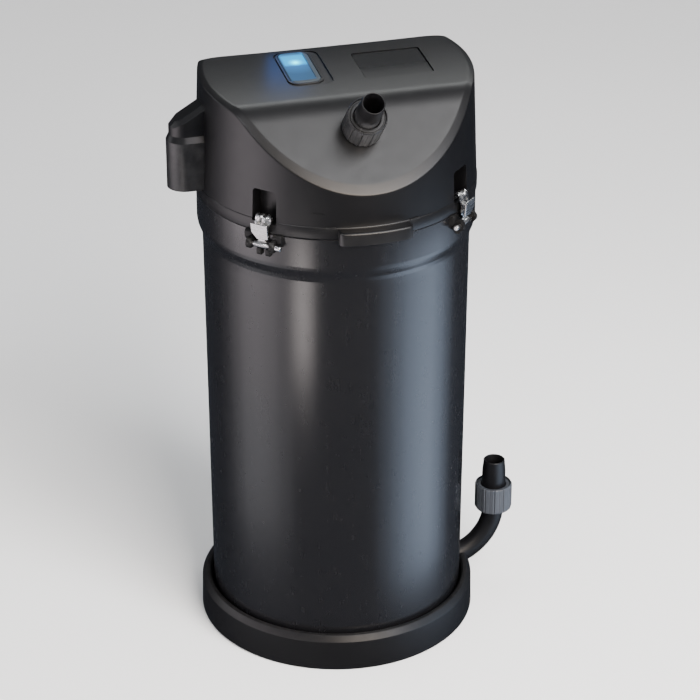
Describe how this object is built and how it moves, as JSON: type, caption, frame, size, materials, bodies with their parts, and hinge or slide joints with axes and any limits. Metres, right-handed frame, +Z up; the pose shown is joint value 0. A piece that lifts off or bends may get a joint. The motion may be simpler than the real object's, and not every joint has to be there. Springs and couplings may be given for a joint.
{
  "type": "canister filter",
  "caption": "Upright canister filter: dark round canister on a base dish, sloped pump head held by spring clips, hose barbs with union nuts, power button and display window.",
  "frame": {"origin": "centre of the base dish's underside", "axes": "+Z up along the canister's axis, front of the head (sloping face, outlet, grip tab) towards -Y, inlet elbow towards +X, cable compartment towards -X"},
  "size_m": [0.2183, 0.177, 0.3762],
  "materials": {
    "base_black": "satin black moulding",
    "shell_black": "polished brown-black",
    "head_black": "fine satin black moulding",
    "union_black": "satin black",
    "nut_grey": "satin mid grey",
    "spring_steel": "brushed stainless strip",
    "pin_steel": "ground stainless",
    "screw_steel": "stainless",
    "seal_rubber": "matt black",
    "screen_black": "satin black",
    "ceramic": "matt fired ceramic",
    "foam_blue": "open-cell foam",
    "bio_brown": "matt porous granules",
    "floss_white": "filter floss",
    "chamber_black": "moulded black",
    "core_steel": "laminated steel",
    "winding": "enamelled copper",
    "magnet_grey": "sintered dark grey",
    "shaft_ceramic": "polished ceramic",
    "impeller_orange": "moulded",
    "board_green": "solder mask",
    "button_blue": "translucent pale blue, lit cyan at the rear",
    "light_guide": "clear",
    "window_dark": "dark polished window"
  },
  "bodies": {
    "canister": {"base_dish": "base_black", "canister_shell": "shell_black", "inlet_elbow": "union_black", "elbow_seal": "seal_rubber", "inlet_hose_barb": "union_black", "inlet_barb_seal": "seal_rubber", "lower_screen": "screen_black", "ceramic_media": "ceramic", "coarse_pad": "foam_blue", "bio_media": "bio_brown", "fine_pad": "floss_white", "upper_screen": "screen_black", "clip_pins": "pin_steel"},
    "head": {"head_housing": "head_black", "head_base_plate": "chamber_black", "head_seal": "seal_rubber", "head_screws": "screw_steel", "impeller_cover": "chamber_black", "impeller_cover_screws": "screw_steel", "rotor_can": "chamber_black", "rotor_can_seal": "seal_rubber", "motor_core": "core_steel", "motor_coils": "winding", "impeller_shaft": "shaft_ceramic", "shaft_bushes": "seal_rubber", "outlet_duct": "chamber_black", "duct_seal": "seal_rubber", "outlet_hose_barb": "union_black", "outlet_barb_seal": "seal_rubber", "control_board": "board_green", "board_screws": "screw_steel", "button_bezel": "head_black", "button_spring_pad": "seal_rubber", "light_guide": "light_guide", "display_window": "window_dark", "cable_cover": "head_black", "cable_gland": "seal_rubber", "cable_cover_screws": "screw_steel"},
    "rotor": {"rotor_magnet": "magnet_grey", "impeller": "impeller_orange"},
    "button": {"power_button": "button_blue"},
    "outlet_nut": {"outlet_union_nut": "nut_grey"},
    "inlet_nut": {"inlet_union_nut": "nut_grey"},
    "front_right_clip": {"clip_front_right": "spring_steel"},
    "front_left_clip": {"clip_front_left": "spring_steel"},
    "rear_left_clip": {"clip_rear_left": "spring_steel"},
    "rear_right_clip": {"clip_rear_right": "spring_steel"}
  },
  "joints": [
    {"name": "head_lift", "type": "slide", "parent": "canister", "child": "head", "axis": [0, 0, 1], "range_m": [0, 0.15]},
    {"name": "front_right_clip_swing", "type": "hinge", "parent": "canister", "child": "front_right_clip", "pos_m": [0.06152, -0.06152, 0.2845], "axis": [0.7071, 0.7071, 0], "range_deg": [0, 105]},
    {"name": "front_left_clip_swing", "type": "hinge", "parent": "canister", "child": "front_left_clip", "pos_m": [-0.06152, -0.06152, 0.2845], "axis": [0.7071, -0.7071, 0], "range_deg": [0, 105]},
    {"name": "rear_left_clip_swing", "type": "hinge", "parent": "canister", "child": "rear_left_clip", "pos_m": [-0.06152, 0.06152, 0.2845], "axis": [-0.7071, -0.7071, 0], "range_deg": [0, 105]},
    {"name": "rear_right_clip_swing", "type": "hinge", "parent": "canister", "child": "rear_right_clip", "pos_m": [0.06152, 0.06152, 0.2845], "axis": [-0.7071, 0.7071, 0], "range_deg": [0, 105]},
    {"name": "power_button_press", "type": "slide", "parent": "head", "child": "button", "axis": [0, 0.0892, -0.996], "range_m": [0, 0.0012], "stiffness_N_per_m": 600},
    {"name": "impeller_spin", "type": "hinge", "parent": "head", "child": "rotor", "pos_m": [0, 0, 0.3], "axis": [0, 0, 1], "continuous": true},
    {"name": "outlet_nut_turn", "type": "hinge", "parent": "head", "child": "outlet_nut", "pos_m": [0, -0.06119, 0.3531], "axis": [0, -0.6988, 0.7153], "continuous": true},
    {"name": "inlet_nut_turn", "type": "hinge", "parent": "canister", "child": "inlet_nut", "pos_m": [0.1044, 0, 0.0592], "axis": [0, 0, 1], "continuous": true}
  ]
}
